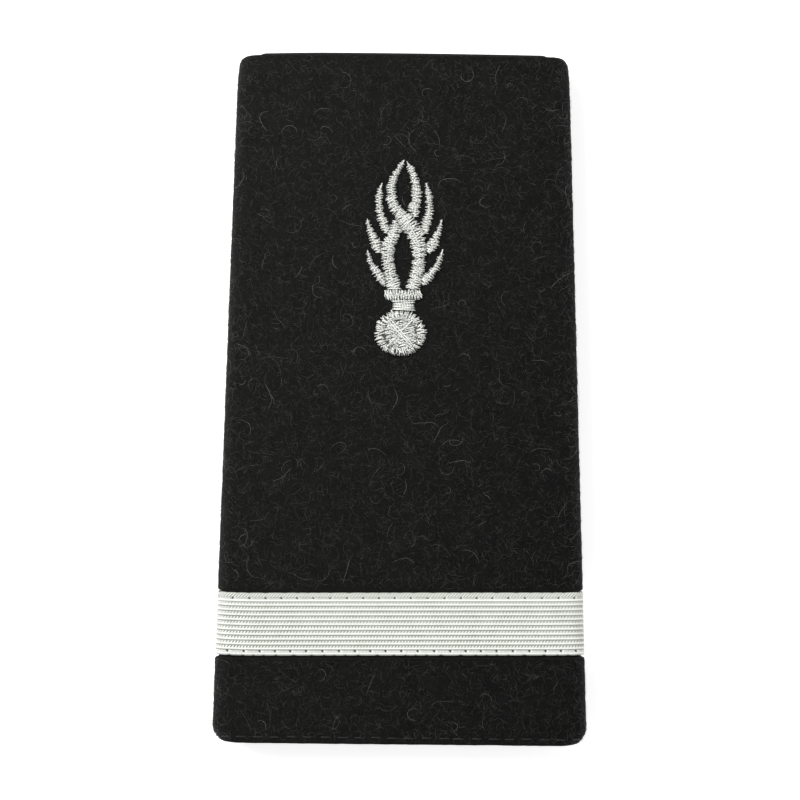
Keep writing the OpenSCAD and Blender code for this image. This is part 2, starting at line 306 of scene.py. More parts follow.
sleeve = {
    "frontFold": 2.2 * mm,  # outside radius of the side folds at the front face
    "backFold": 4.5 * mm,  # and at the back
    "wall": 1.6 * mm,
    "seam": 0.03 * mm,  # slit at the middle of the back, all but closed
    "cutEdge": 0.3 * mm,
    "bow": 0.3 * mm,  # how far the narrow end bows out
    "bowPeak": -0.4,
    "bowReach": 10 * mm,
    "outOfSquare": 0.16 * mm,  # how much lower the right corner of the wide end lies
    "squareReach": 12 * mm,
    "squareMiddle": 0.4,  # the share of it at the middle
    "bandTurn": math.radians(0.41),  # the braid is sewn on a little askew
    "bandReach": 9 * mm,
    "bandCurl": 0.17 * mm,  # and its left end turns up
    "curlFrom": 21 * mm,
    "curlWidth": 0.3,  # it has turned up by bandCurl this share of curlFrom further out
    "curlMost": 0.4,
    "curlRight": 0.25,  # the share of it at the right end
    "stations": 420,  # where the CAD sleeve's width is measured
}

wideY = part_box("felt_cover")[0][1]
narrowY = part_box("felt_cover")[1][1] - sleeve["bow"]
braidLow, braidHigh = [corner[1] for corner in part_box("braid")]


def cutRounding(y):
    radius = sleeve["cutEdge"]
    inside = radius - np.clip(np.minimum(y - wideY, narrowY - y), 0, radius)
    return radius - np.sqrt(radius ** 2 - inside ** 2)


def measureHalves():
    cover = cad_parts["felt_cover"]
    sideZ = (sleeve["backFold"] + frontZ - sleeve["frontFold"]) / 2
    inset = 0.01 * mm
    clear = 1.0 * mm
    places = np.linspace(0, 1, sleeve["stations"])
    eased = (places + smoothStep(0, 1, places)) / 2  # closer together near the two ends
    sides = []
    for y in wideY + inset + eased * (narrowY - wideY - 2 * inset):
        found, spot = cover.ray_cast(Vector((0.1, y, sideZ)), Vector((-1, 0, 0)))[:2]
        if found and not braidLow - clear < y < braidHigh + clear:
            sides.append((y, spot.x))
    stations, halves = np.array(sides).T
    return stations, halves + cutRounding(stations)


halfStations, halfValues = measureHalves()


def halfAt(y):
    return np.interp(y, halfStations, halfValues)


def breaksAt(y):  # arc lengths at which the section's stretches end
    half = halfAt(y)
    quarter = math.pi / 2
    front = half - sleeve["frontFold"]
    foldEnd = front + quarter * sleeve["frontFold"]
    sideEnd = foldEnd + frontZ - sleeve["frontFold"] - sleeve["backFold"]
    backStart = sideEnd + quarter * sleeve["backFold"]
    last = backStart + half - sleeve["backFold"] - sleeve["seam"] / 2
    return front, foldEnd, sideEnd, backStart, last


def wrap(arc, y, lift):  # a place on the sleeve, lifted off its surface
    half = halfAt(y)
    front, foldEnd, sideEnd, backStart, last = breaksAt(y)
    rf, rb = sleeve["frontFold"], sleeve["backFold"]
    run = np.abs(arc)
    turnFront = (run - front) / rf
    turnBack = (run - sideEnd) / rb
    stretches = [run < front, run < foldEnd, run < sideEnd, run < backStart]
    x = np.select(
        stretches,
        [run, front + (rf + lift) * np.sin(turnFront),
         half + lift, half - rb + (rb + lift) * np.cos(turnBack)],
        half - rb - (run - backStart),
    )
    z = np.select(
        stretches,
        [frontZ + lift, frontZ - rf + (rf + lift) * np.cos(turnFront),
         frontZ - rf - (run - foldEnd), rb - (rb + lift) * np.sin(turnBack)],
        -lift,
    )
    x = x * np.where(arc < 0, -1, 1)
    across = np.clip(x / half, -1, 1)
    peak = sleeve["bowPeak"]
    away = (across - peak) / np.where(across > peak, 1 - peak, 1 + peak)
    reach = np.clip(1 - (narrowY - y) / sleeve["bowReach"], 0, None)
    nearWide = np.clip(1 - (y - wideY) / sleeve["squareReach"], 0, 1)
    level = sleeve["squareMiddle"]
    skew = nearWide * sleeve["outOfSquare"] * (level + (1 - level) * across)
    curl = np.clip(np.abs(x) / sleeve["curlFrom"] - 1, 0, sleeve["curlMost"]) / sleeve["curlWidth"]
    curl = sleeve["bandCurl"] * curl ** 2 * np.where(x < 0, 1, sleeve["curlRight"])
    turned = x * math.tan(sleeve["bandTurn"]) + curl
    offBand = np.maximum(braidLow - y, y - braidHigh)
    turned = turned * (1 - smoothStep(0, sleeve["bandReach"], offBand))
    return np.stack([x, y + reach * sleeve["bow"] * (1 - away ** 2) - skew + turned, z], axis=-1)


def frontShare(arc, y):  # 1 on the front face and 0 past its fold
    front, foldEnd = breaksAt(y)[:2]
    return 1 - smoothStep(front, foldEnd, np.abs(arc))


seat = {
    "front": 0.40 * mm,  # how deep the felt is pressed in under the braid
    "side": 0.55 * mm,
    "gap": 0.05 * mm,
    "wall": 0.3 * mm,
}


def seatDepth(arc, y):
    edge = seat["gap"]
    inSeat = smoothStep(braidLow - edge - seat["wall"], braidLow - edge, y)
    inSeat = inSeat * (1 - smoothStep(braidHigh + edge, braidHigh + edge + seat["wall"], y))
    return inSeat * (seat["side"] + (seat["front"] - seat["side"]) * frontShare(arc, y))


print("slide: section measured")


# Grids that are wrapped round the sleeve

def columnsRound(counts):  # shares of the five stretches of one half, as (stretch, share)
    marks = [0.0]
    for stretch, count in enumerate(counts):
        marks += [stretch + step / count for step in range(1, count + 1)]
    return np.array([-mark for mark in reversed(marks[1:])] + marks)


def arcOf(marks, y):
    breaks = [np.zeros_like(y), *breaksAt(y)]
    length = np.zeros_like(y)
    for stretch in range(5):
        share = np.clip(np.abs(marks) - stretch, 0, 1)
        length = length + share * (breaks[stretch + 1] - breaks[stretch])
    return np.where(marks < 0, -length, length)


def meshPoints(node):
    points = np.empty(len(node.data.vertices) * 3)
    node.data.vertices.foreach_get("co", points)
    return points.reshape(-1, 3)


def setPoints(node, points):
    node.data.vertices.foreach_set("co", points.ravel())
    node.data.update()


def gridSheet(name, counts, rows):  # a grid, and the mark and the row number of each of its points
    marks = columnsRound(counts)
    columns = len(marks)
    bpy.ops.mesh.primitive_grid_add(x_subdivisions=columns - 1, y_subdivisions=rows - 1, size=2)
    sheet = bpy.context.object
    sheet.name = name
    points = meshPoints(sheet)
    column = np.rint((points[:, 0] + 1) / 2 * (columns - 1)).astype(int)
    row = np.rint((points[:, 1] + 1) / 2 * (rows - 1)).astype(int)
    return sheet, marks[column], row


# Felt cover

felt = {
    "columns": (52, 8, 4, 12, 26),  # over the front, front fold, side, back fold and back
    "rows": 180,
    "lumps": 0.05 * mm,
    "lumpSize": 1.1 * mm,
    "hemFromEdge": 1.0 * mm,
    "hemDent": 0.12 * mm,
    "hemWidth": 0.45 * mm,
    "sharp": math.radians(50),  # edges sharper than this aren't shaded smooth
    "mat": [  # the finish's layers of fibres: scale, half width, offset and strength
        (1.6, 0.022, (0.0, 0.0, 0.0), 1.0),
        (2.2, 0.028, (7.3, 2.1, 5.7), 0.8),
        (3.1, 0.036, (3.9, 8.8, 1.4), 0.6),
    ],
    "dark": (0.0024, 0.0025, 0.0023, 1),
    "fibre": (0.0190, 0.0199, 0.0178, 1),
    "sheen": 0.04,
    "paintedLightAlong": 0.0016,  # painted light: the felt is painted greyer towards the narrow end and the left side, where the key lamp stands
    "paintedLightAcross": -0.0034,
}

hemY = wideY + felt["hemFromEdge"]


def feltRows():  # closer together at the cut ends and beside the braid
    ends = np.array([0, 0.04, 0.1, 0.18, 0.3, 0.5]) * mm
    edge = seat["gap"] + np.array([0, 0.1, 0.2, 0.3]) * mm
    even = np.linspace(wideY, narrowY, felt["rows"])
    return np.unique(np.concatenate([
        even, wideY + ends, narrowY - ends, braidLow - edge, braidHigh + edge,
    ]))


def makeFelt():
    rows = feltRows()
    cover, marks, row = gridSheet("felt_sleeve", felt["columns"], len(rows))
    y = rows[row]
    arc = arcOf(marks, y)
    dent = felt["hemDent"] * bell(y, hemY, felt["hemWidth"], 2)
    lift = -seatDepth(arc, y) - cutRounding(y) - dent
    setPoints(cover, wrap(arc, y, lift))
    group = cover.vertex_groups.new(name="wall")
    for number, weight in enumerate(1 + lift / sleeve["wall"]):
        group.add([number], float(weight), "REPLACE")
    lumps = bpy.data.textures.new("lumps", "CLOUDS")
    lumps.noise_scale = felt["lumpSize"]
    lumps.noise_depth = 2
    swell = cover.modifiers.new("lumps", "DISPLACE")
    swell.texture = lumps
    swell.strength = 2 * felt["lumps"]
    wall = cover.modifiers.new("wall", "SOLIDIFY")
    wall.thickness = sleeve["wall"]
    wall.offset = -1
    wall.vertex_group = "wall"
    pickOnly(cover)
    bpy.ops.object.modifier_apply(modifier="lumps")
    bpy.ops.object.modifier_apply(modifier="wall")
    inEditMode(cover, turnOutwards)
    bpy.ops.object.shade_smooth_by_angle(angle=felt["sharp"])
    return cover


def fibreMat(finish, place):  # thin curved lines at several scales, 0 between fibres and 1 on one
    total = None
    for scale, width, offset, weight in felt["mat"]:
        shifted = finish.node("ShaderNodeVectorMath", {"operation": "ADD"}, {0: place, 1: offset})
        ridge = finish.noise(shifted, scale, 1.0)
        patches = finish.noise(shifted, scale * 0.8)
        line = (1 - abs(ridge - 0.5) / width).clamped()
        layer = line * ((patches - 0.42) * 6).clamped() * weight
        total = total.larger(layer) if total else layer
    return total


# painted light: a lighter tone towards the narrow end and the left side, where the key lamp stands
def paintedLightFall(finish, place):
    return finish.part(place, "Y") * felt["paintedLightAlong"] + finish.part(place, "X") * felt["paintedLightAcross"]


def feltFinish():
    wool = Finish("blackFelt")
    place = wool.placeInMm()
    mat = fibreMat(wool, place)
    clouds = wool.noise(place, 0.35, 2.0)
    pile = wool.noise(place, 3.6, 3.0)
    # the tone carries the painted light towards the narrow end and the left side
    tone = (mat * 0.40 + (clouds - 0.5) * 0.35 + (pile - 0.5) * 1.1 + paintedLightFall(wool, place) + 0.22).clamped()
    wool.set(
        colour=wool.mixed(tone, felt["dark"], felt["fibre"]), roughness=0.95, specular=0.05,
        sheen=felt["sheen"], sheenRoughness=0.6,
        normal=wool.bump(mat * 0.5 + pile, 0.6, 0.10 * mm),
    )
    return wool.material


feltCover = makeFelt()
feltCover.data.materials.append(feltFinish())
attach(feltCover, "root")
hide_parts("felt_cover")
print("slide: felt made")


# Threads and fibres: each is one spline, swept with a round section

def stored(tree, threads, name, domain, value):
    values = {"Geometry": threads, "Name": name, "Value": value}
    store = addNode(tree, "GeometryNodeStoreNamedAttribute", {"data_type": "FLOAT", "domain": domain}, values)
    return store.outputs["Geometry"]


def sweepNodes(sides, tones, plied):
    tree = bpy.data.node_groups.new("sweepThreads", "GeometryNodeTree")
    for way in ("INPUT", "OUTPUT"):
        tree.interface.new_socket("Geometry", in_out=way, socket_type="NodeSocketGeometry")
    threads = addNode(tree, "NodeGroupInput").outputs[0]
    chance = addNode(tree, "FunctionNodeRandomValue", {"data_type": "FLOAT"}, {2: tones[0], 3: tones[1]})
    threads = stored(tree, threads, "shade", "CURVE", chance.outputs[1])
    if plied:  # the length along each thread, for its ply
        length = addNode(tree, "GeometryNodeSplineParameter").outputs["Length"]
        threads = stored(tree, threads, "along", "POINT", length)
    profile = addNode(tree, "GeometryNodeCurvePrimitiveCircle", {}, {"Resolution": sides, "Radius": 1.0})
    sweep = addNode(tree, "GeometryNodeCurveToMesh", {}, {
        "Curve": threads,
        "Profile Curve": profile.outputs["Curve"],
        "Scale": addNode(tree, "GeometryNodeInputRadius").outputs[0],
        "Fill Caps": True,
    })
    addNode(tree, "NodeGroupOutput", {}, {0: sweep.outputs["Mesh"]})
    return tree


def sweepThreads(name, paths, widths, sides, material, tones=(0.0, 1.0), plied=False):
    curve = bpy.data.curves.new(name, "CURVE")
    curve.dimensions = "3D"
    for path, width in zip(paths, widths):
        spline = curve.splines.new("POLY")
        spline.points.add(len(path) - 1)
        spline.points.foreach_set("co", np.column_stack([path, np.ones(len(path))]).ravel())
        spline.points.foreach_set("radius", np.broadcast_to(width, len(path)).astype(float))
    thread = bpy.data.objects.new(name, curve)
    bpy.context.collection.objects.link(thread)
    thread.modifiers.new("sweep", "NODES").node_group = sweepNodes(sides, tones, plied)
    pickOnly(thread)
    bpy.ops.object.convert(target="MESH")
    thread = bpy.context.object
    thread.data.materials.append(material)
    bpy.ops.object.shade_smooth()
    return thread


def threadFinish(name, grain, colours, roughness, specular, bump):
    thread = Finish(name)
    twist = thread.noise(thread.placeInMm(), grain, 2.0)
    thread.set(
        colour=thread.mixed(twist, *colours), roughness=roughness, specular=specular,
        normal=thread.bump(twist, *bump),
    )
    return thread.material


def fibreFinish(name, colours, roughness, spread):
    hair = Finish(name)
    place = hair.placeInMm()
    tone = hair.attribute("shade") ** spread  # few of the fibres are bright
    along = hair.noise(place, 2.0, 1.0)
    # painted light: the fibres are painted greyer towards the narrow end and the left side too
    tone = tone * 0.8 + (along - 0.5) * 0.4 + paintedLightFall(hair, place) * 0.7
    hair.set(colour=hair.mixed(tone.clamped(), *colours), roughness=roughness, specular=0.3, sheen=0.2)
    return hair.material


# Nap: short fibres lying on the felt, and longer stray ones

nap = {
    "points": 4,
    "radius": 0.018 * mm,
    "front": 7600,  # in each half of the front
    "round": 6200,  # over the sides and the back
    "length": (0.35 * mm, 1.6 * mm),
    "curl": 2.4,  # radians of turn from end to end, at most
    "wander": 0.16,
    "rise": 0.12 * mm,
    "colours": ((0.005, 0.005, 0.005, 1), (0.088, 0.091, 0.083, 1)),
}

curls = {
    "points": 19,
    "radius": 0.0135 * mm,
    "front": 420,
    "round": 420,
    "length": (1.1 * mm, 4.6 * mm),
    "curl": 4.6,
    "wander": 0.13,
    "rise": 0.26 * mm,
    "colours": ((0.03, 0.03, 0.028, 1), (0.42, 0.425, 0.397, 1)),
}


def fibrePaths(count, kind, arcs, ys):  # curly paths on the sleeve, from the places of their starts
    points = kind["points"]
    length = rng.uniform(*kind["length"], count)
    heading = rng.uniform(0, 2 * math.pi, count)
    bend = scatter(kind["curl"], count)
    steps = np.arange(points)
    wander = np.cumsum(rng.normal(0, kind["wander"], (count, points)), axis=1)
    angle = heading[:, None] + bend[:, None] * steps / points + wander
    stride = (length / (points - 1))[:, None]
    arc = arcs[:, None] + np.cumsum(np.cos(angle) * stride, axis=1)
    y = ys[:, None] + np.cumsum(np.sin(angle) * stride, axis=1)
    swing = np.abs(np.sin(rng.uniform(0, 3, (count, 1)) + steps / points * rng.uniform(2, 5, (count, 1))))
    lift = kind["radius"] * 0.5 + kind["rise"] * swing * rng.uniform(0.1, 1, (count, 1))
    return arc, y, lift


def onFelt(arc, y):  # which fibres stay on the felt and off the braid
    last = breaksAt(y)[4]
    edge = 0.3 * mm
    inside = (np.abs(arc) < last - edge) & (y > wideY + edge / 3) & (y < narrowY - edge / 3)
    offBraid = (y < braidLow - edge) | (y > braidHigh + edge)
    return (inside & offBraid).all(axis=1)


def lookDown(name, x, y):  # whether a pad lies below a place, and its height there
    found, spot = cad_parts[name].ray_cast(Vector((x, y, 1)), Vector((0, 0, -1)))[:2]
    return found, spot.z


def onPads(names, x, y):  # whether each place lies on one of the pads
    found = np.zeros(x.shape, bool)
    for name in names:
        (left, low), (right, high) = [corner[:2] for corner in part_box(name)]
        for number in map(tuple, np.argwhere((x > left) & (x < right) & (y > low) & (y < high))):
            found[number] |= lookDown(name, x[number], y[number])[0]
    return found


padNames = [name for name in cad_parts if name.startswith(("grenade_", "flame_"))]


def makeFibres(name, kind, side, material, reach=(0.0, 1.0)):
    count = kind[side]
    y = wideY + rng.uniform(*reach, count) * (narrowY - wideY)
    front, foldEnd, sideEnd, backStart, last = breaksAt(y)
    share = scatter(1, count)
    if side == "front":
        arc = share * foldEnd
    else:
        arc = np.sign(share) * (front + np.abs(share) * (last - front))
    arc, y, lift = fibrePaths(count, kind, arc, y)
    kept = onFelt(arc, y)
    if side == "front":
        kept &= ~onPads(padNames, arc, y).any(axis=1)
    arc, y, lift = arc[kept], y[kept], lift[kept]
    lift = np.where(np.abs(arc) > breaksAt(y)[3], np.minimum(lift, studio["floorDrop"] * 0.8), lift)
    thinner = 0.55  # at the ends
    taper = 1 - thinner * np.abs(np.linspace(-1, 1, kind["points"])) ** 3
    widths = [kind["radius"] * taper] * len(arc)
    piece = sweepThreads(name, wrap(arc, y, lift), widths, 3, material)
    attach(piece, "root")
    print("slide:", name, len(arc), "fibres", len(piece.data.polygons), "faces")
    return piece


napMaterial = fibreFinish("napFibre", nap["colours"], roughness=0.6, spread=2.0)
curlMaterial = fibreFinish("strayFibre", curls["colours"], roughness=0.5, spread=1.7)
fibres = [
    makeFibres("nap_front_wide", nap, "front", napMaterial, (0.0, 0.5)),
    makeFibres("nap_front_narrow", nap, "front", napMaterial, (0.5, 1.0)),
    makeFibres("nap_sides_back", nap, "round", napMaterial),
    makeFibres("stray_fibres_front", curls, "front", curlMaterial),
    makeFibres("stray_fibres_back", curls, "round", curlMaterial),
]


# Sewing: hem stitches at the wide end and zigzag stitches over the back's seam

sewing = {
    "radius": 0.11 * mm,
    "sides": 8,
    "points": 9,
    "hemEnds": 1.0 * mm,  # how far from the slit the hem's stitches end
    "hemLoose": (0.12, 0.06),  # along and across, in millimetres
    "hemLift": 0.35,  # over the dented felt, in radii
    "hemDip": 0.25 * mm,
    "hemSpacing": 2.55 * mm,
    "hemStitch": 1.75 * mm,
    "seamSpacing": 1.9 * mm,
    "seamHalf": 1.25 * mm,  # how far a zigzag stitch reaches from the slit
    "seamEnds": 2.2 * mm,
    "seamFromBraid": 1.2 * mm,
    "seamLift": 0.45,
    "seamDip": 0.3 * mm,
    "colours": ((0.005, 0.005, 0.0047, 1), (0.013, 0.0133, 0.0124, 1)),
}


def hemPaths():
    last = breaksAt(np.array(hemY))[4] - sewing["hemEnds"]
    starts = np.arange(-last, last - sewing["hemStitch"], sewing["hemSpacing"])
    starts = starts + scatter(sewing["hemLoose"][0], len(starts)) * mm
    along = np.linspace(0, 1, sewing["points"])
    arc = starts[:, None] + sewing["hemStitch"] * along
    y = hemY + scatter(sewing["hemLoose"][1], (len(starts), 1)) * mm + 0 * arc
    dip = sewing["hemDip"] * np.abs(2 * along - 1) ** 4
    return wrap(arc, y, sewing["hemLift"] * sewing["radius"] - felt["hemDent"] - dip + 0 * arc)


def seamPaths():
    ys = np.arange(wideY + sewing["seamEnds"], narrowY - sewing["seamEnds"], sewing["seamSpacing"])
    ys = ys[(ys < braidLow - sewing["seamFromBraid"]) | (ys > braidHigh + sewing["seamFromBraid"])]
    along = np.linspace(-1, 1, sewing["points"])
    x = zigzag(len(ys))[:, None] * sewing["seamHalf"] * along
    y = ys[:, None] + 0.5 * sewing["seamSpacing"] * along
    z = -sewing["seamLift"] * sewing["radius"] + sewing["seamDip"] * np.abs(along) ** 6 + 0 * x
    return np.stack([x, y, z], axis=-1)


def makeSewing():
    paths = np.concatenate([hemPaths(), seamPaths()])
    widths = [sewing["radius"]] * len(paths)
    cotton = threadFinish("blackThread", 6.0, sewing["colours"], 0.5, 0.4, (0.4, 0.03 * mm))
    sewn = sweepThreads("hem_and_seam_stitches", paths, widths, sewing["sides"], cotton)
    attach(sewn, "root")
    return sewn


blackStitches = makeSewing()
print("slide: hem and seam sewn")


# Stiffener: the CAD sheet with a smooth black plastic finish

def plasticFinish():
    plastic = Finish("blackSheet")
    place = plastic.placeInMm()
    grain = plastic.noise(place, 6.0, 3.0)
    scuff = plastic.noise(place, 0.6, 3.0)
    plastic.set(
        colour=plastic.mixed(scuff, (0.003, 0.003, 0.003, 1), (0.008, 0.008, 0.008, 1)),
        roughness=0.34 + 0.2 * scuff, specular=0.25, normal=plastic.bump(grain, 0.15, 0.02 * mm),
    )
    return plastic.material


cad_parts["stiffener"].material_slots[0].material = plasticFinish()


# Braid

braid = {
    "columns": (275, 37, 21, 42, 190),
    "lowRows": (0, 0.06, 0.13, 0.21, 0.30, 0.39, 0.48, 0.57, 0.66),  # millimetres over the bottom
    "ribRows": (0, 0.14, 0.30, 0.48, 0.66, 0.84),  # shares of each rib
    "highRows": (0, 0.12, 0.24, 0.36, 0.46, 0.55, 0.64, 0.74, 0.85, 0.96, 1.07, 1.18, 1.29, 1.37, 1.43),
    "sharp": math.radians(75),
    "thick": 0.5 * mm,
    "edgeThick": 0.3 * mm,
    "edge": 0.15 * mm,
    "proud": 0.15 * mm,  # over the felt at the front
    "sideProud": 0.10 * mm,
    "bottom": 0.25 * mm,  # the edges and grooves, from the low side of the braid's seat
    "top": 9.76 * mm,
    "lowGroove": 1.00 * mm,
    "highGroove": 8.36 * mm,
    "grooves": 11,
    "groove": 0.14 * mm,
    "tooth": 0.479 * mm,
    "toothSlant": 0.62 * mm,  # how far a tooth leans over its rib
    "twill": 0.479 * mm,
    "twillFrom": 0.72 * mm,  # over the highest groove
    "twillTo": 1.30 * mm,
    "loopsTo": 0.36 * mm,  # the row of loops at the low side
    "fringe": 0.03 * mm,
    "bite": 0.10 * mm,  # dips between the loops of the two edges
    "fringeReach": 0.4 * mm,
    "biteWaves": (0.33 * mm, 1.9 * mm),
    "wear": 0.02 * mm,
    "wearWaves": (7.3 * mm, 2.9 * mm),  # along and across
    "toothStep": 0.57,  # from one rib's teeth to the next one's, in teeth
    "holeRadius": 0.18 * mm,
    "holeJitter": 0.10 * mm,
    "holeTurn": 7.31,
    "holeDepth": 0.3 * mm,
    "holes": [  # height, spacing and first one of each row
        (8.93 * mm, 2.463 * mm, -25.41 * mm),
        (0.92 * mm, 2.406 * mm, -26.17 * mm),
    ],
    # painted shade: the low colour darkens the weave's grooves and gaps, the high one is its tops
    "low": (0.10, 0.112, 0.068, 1),
    "high": (0.900, 0.912, 0.872, 1),
    # the needle holes: partly painted shade in the dip, partly the black felt and thread in it
    "holeDark": (0.012, 0.012, 0.011, 1),
}

grooveStep = (braid["highGroove"] - braid["lowGroove"]) / (braid["grooves"] - 1)


def braidRows():
    rows = [braid["bottom"] + step * mm for step in braid["lowRows"]]
    for number in range(braid["grooves"] - 1):
        start = braid["lowGroove"] + number * grooveStep
        rows += [start + share * grooveStep for share in braid["ribRows"]]
    rows += [braid["highGroove"] + step * mm for step in braid["highRows"]]
    return np.array(rows)


def holesIn(arc, v):  # 1 in a needle hole and 0 beside it
    depth = np.zeros_like(arc)
    for height, spacing, first in braid["holes"]:
        number = np.rint((arc - first) / spacing)
        along = arc - first - number * spacing - braid["holeJitter"] * np.sin(number * braid["holeTurn"])
        far = np.hypot(along, v - height) / braid["holeRadius"]
        depth = np.maximum(depth, 1 - smoothStep(0.35, 1.25, far))
    return depth


def braidRelief(arc, v):  # 1 on top of the weave and 0 in its grooves
    rib = np.clip(np.floor((v - braid["lowGroove"]) / grooveStep), 0, braid["grooves"] - 2)
    share = (v - braid["lowGroove"]) / grooveStep - rib
    shift = rib * braid["toothStep"] * braid["tooth"]
    tooth = smoothStep(0.15, 0.85, wave((arc - shift - braid["toothSlant"] * share) / braid["tooth"]))
    cord = bell(share, 0.43, 0.20, 4)
    crossing = bell(share, 0.78, 0.20, 2) * (0.12 + 0.88 * tooth)
    ribbed = np.maximum(cord, crossing)
    up = v - braid["highGroove"]
    twill = smoothStep(0.1, 0.9, wave((arc - up) / braid["twill"]))
    upper = bell(up, 0.24 * mm, 0.14 * mm, 4)
    upper = np.maximum(upper, 0.45 * smoothStep(0.30 * mm, 0.42 * mm, up))
    upper = np.where(up > braid["twillFrom"], 0.25 + 0.75 * twill, upper)
    upper = np.where(up > braid["twillTo"], 0.30 + 0.30 * twill, upper)
    loops = wave((arc - v) / braid["tooth"])
    lower = bell(v, 0.56 * mm, 0.12 * mm, 4)
    lower = np.maximum(lower, 0.35 + 0.3 * loops * smoothStep(0.96 * mm, 0.76 * mm, v))
    lower = np.where(v < braid["loopsTo"], 0.25 + 0.45 * loops, lower)
    relief = np.where(v > braid["highGroove"], upper, ribbed)
    return np.where(v < braid["lowGroove"], lower, relief)


def makeBraid():
    sections = np.append(braidRows(), [braid["top"], braid["bottom"], braid["bottom"]])
    inner = np.zeros(len(sections), bool)
    inner[-3:-1] = True
    band, marks, row = gridSheet("silver_braid", braid["columns"], len(sections))
    v = sections[row]
    y = braidLow + v
    arc = arcOf(marks, y)
    edge = np.minimum(v - braid["bottom"], braid["top"] - v)
    wearAlong, wearAcross = braid["wearWaves"]
    wear = braid["wear"] * np.sin(arc / wearAlong) * np.sin(v / wearAcross + 1)
    inside = smoothStep(0, braid["edge"], edge)
    body = braid["edgeThick"] + (braid["thick"] - braid["edgeThick"]) * inside
    thick = body + wear - braid["groove"] * (1 - braidRelief(arc, v)) * inside
    thick = np.where(inner[row], 0.0, thick - braid["holeDepth"] * holesIn(arc, v))
    sideEnd, backStart = breaksAt(y)[2:4]
    sideShare = 1 - smoothStep(sideEnd, backStart, np.abs(arc))
    proud = (braid["proud"] - braid["sideProud"]) * frontShare(arc, y) + braid["sideProud"] * sideShare
    side = np.where(v > braid["top"] / 2, 1, -1)
    biteShort, biteLong = braid["biteWaves"]
    uneven = np.sin(arc / biteShort + 2 * np.sin(arc / biteLong + side))
    ragged = braid["fringe"] * np.sin(arc / braid["twill"] * 2 * math.pi)
    ragged = ragged - braid["bite"] * np.clip(uneven, 0, 1) ** 6
    fringe = ragged * side * np.clip(1 - edge / braid["fringeReach"], 0, 1)
    setPoints(band, wrap(arc, y + fringe, proud - braid["thick"] + thick))
    loops = np.empty(len(band.data.loops), int)
    band.data.loops.foreach_get("vertex_index", loops)
    place = np.column_stack([arc / mm, v / mm])
    band.data.uv_layers[0].data.foreach_set("uv", place[loops].ravel())
    inEditMode(band, mergeDoubles, closeEnds, turnOutwards)
    bpy.ops.object.shade_smooth_by_angle(angle=braid["sharp"])
    return band


def weaveShading(arc, v):  # painted shade: the same weave as in braidRelief, darker in its grooves and gaps, in millimetres, finer than the mesh
    run = (v - braid["lowGroove"] / mm) / (grooveStep / mm)
    rib = run.maths("FLOOR", run)
    share = run - rib
    sway = (arc / 3.1 + rib * 2.1).wave() * 0.08
    slant = share * (braid["toothSlant"] / braid["tooth"])
    tooth = (arc / (braid["tooth"] / mm) - rib * braid["toothStep"] - sway - slant).wave()
    tooth = (tooth - (share - 0.60) * 0.6).eased(0.08, 0.50)  # the teeth are pointed
    cord = share.bell(0.44, 0.18, 4) * (tooth * 0.12 + 0.88)
    # painted shade in the gaps between the teeth
    gap = share.bell(0.80 - rib * 0.004, 0.17, 4) * (1 - tooth) * 0.42
    ribbed = cord.larger(share.bell(0.80, 0.24, 4) * tooth) - gap
    up = v - braid["highGroove"] / mm
    twill = ((arc - up) / (braid["twill"] / mm)).wave().eased(0.05, 0.60)
    upper = up.bell(0.26, 0.15, 4).larger(up.eased(0.34, 0.46) * 0.42) * 0.72 + 0.28
    margin = up.eased(0.66, 1.00) * 0.35 + 0.65 - up.eased(1.20, 1.36) * 0.35
    upper = up.pastLimit(0.68, upper, (twill * 1.30 - 0.16) * margin)
    loops = ((arc - v) / (braid["tooth"] / mm)).wave()
    lower = v.bell(0.56, 0.12, 4).larger(loops * 0.25 + 0.32)
    lower = v.pastLimit(braid["loopsTo"] / mm, loops * 0.45 + 0.20, lower)
    woven = v.pastLimit(braid["lowGroove"] / mm, lower, ribbed) * 0.72 + 0.28
    return v.pastLimit(braid["highGroove"] / mm, woven, upper)


def holeMask(arc, v):  # 1 in a needle hole, and a painted highlight on the bump of thread beside it
    holes, bumpHighlights = 0, 0
    for height, spacing, first in braid["holes"]:
        run = (arc - first / mm) / (spacing / mm)
        number = run.maths("ROUND", run)
        jitter = number.maths("SINE", number * braid["holeTurn"]) * (braid["holeJitter"] / mm)
        along = (run - number) * (spacing / mm) - jitter
        above = v - height / mm
        lean = along + above * 0.4
        far = along.maths("SQRT", lean * lean + above * above) / (braid["holeRadius"] / mm)
        holes = (1 - far.eased(0.60, 1.15)) + holes
        # painted highlight on the thread bump beside each hole
        bumpHighlights = along.bell(0.32, 0.17, 2) * above.bell(0.02, 0.13, 2) + bumpHighlights
    return holes.clamped(), bumpHighlights


def braidFinish():
    yarn = Finish("silverBraid")
    place = yarn.placeInMm()
    weave = yarn.node("ShaderNodeUVMap", {"uv_map": "UVMap"})
    arc, v = yarn.part(weave, "X"), yarn.part(weave, "Y")
    holes, bumpHighlights = holeMask(arc, v)
    fine = yarn.noise(place, 9.0, 2.0)
    patch = yarn.noise(place, 0.5, 2.0)
    relief = weaveShading(arc, v)
    # painted shade: the weave's relief makes its grooves darker
    tone = (relief * 1.05 + bumpHighlights * 0.4 + (fine - 0.5) * 0.85 + (patch - 0.5) * 0.2).clamped()
    # the needle holes are painted near black, partly painted shade
    yarn.set(
        colour=yarn.mixed(holes, yarn.mixed(tone, braid["low"], braid["high"]), braid["holeDark"]),
        roughness=0.55, specular=0.3, sheen=0.1, normal=yarn.bump(relief + fine * 0.5, 0.5, 0.05 * mm),
    )
    return yarn.material


silverBraid = makeBraid()
silverBraid.data.materials.append(braidFinish())
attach(silverBraid, "root")
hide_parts("braid")
print("slide: braid made,", len(silverBraid.data.polygons), "faces")


# Embroidery: satin stitches laid over each pad of the frame

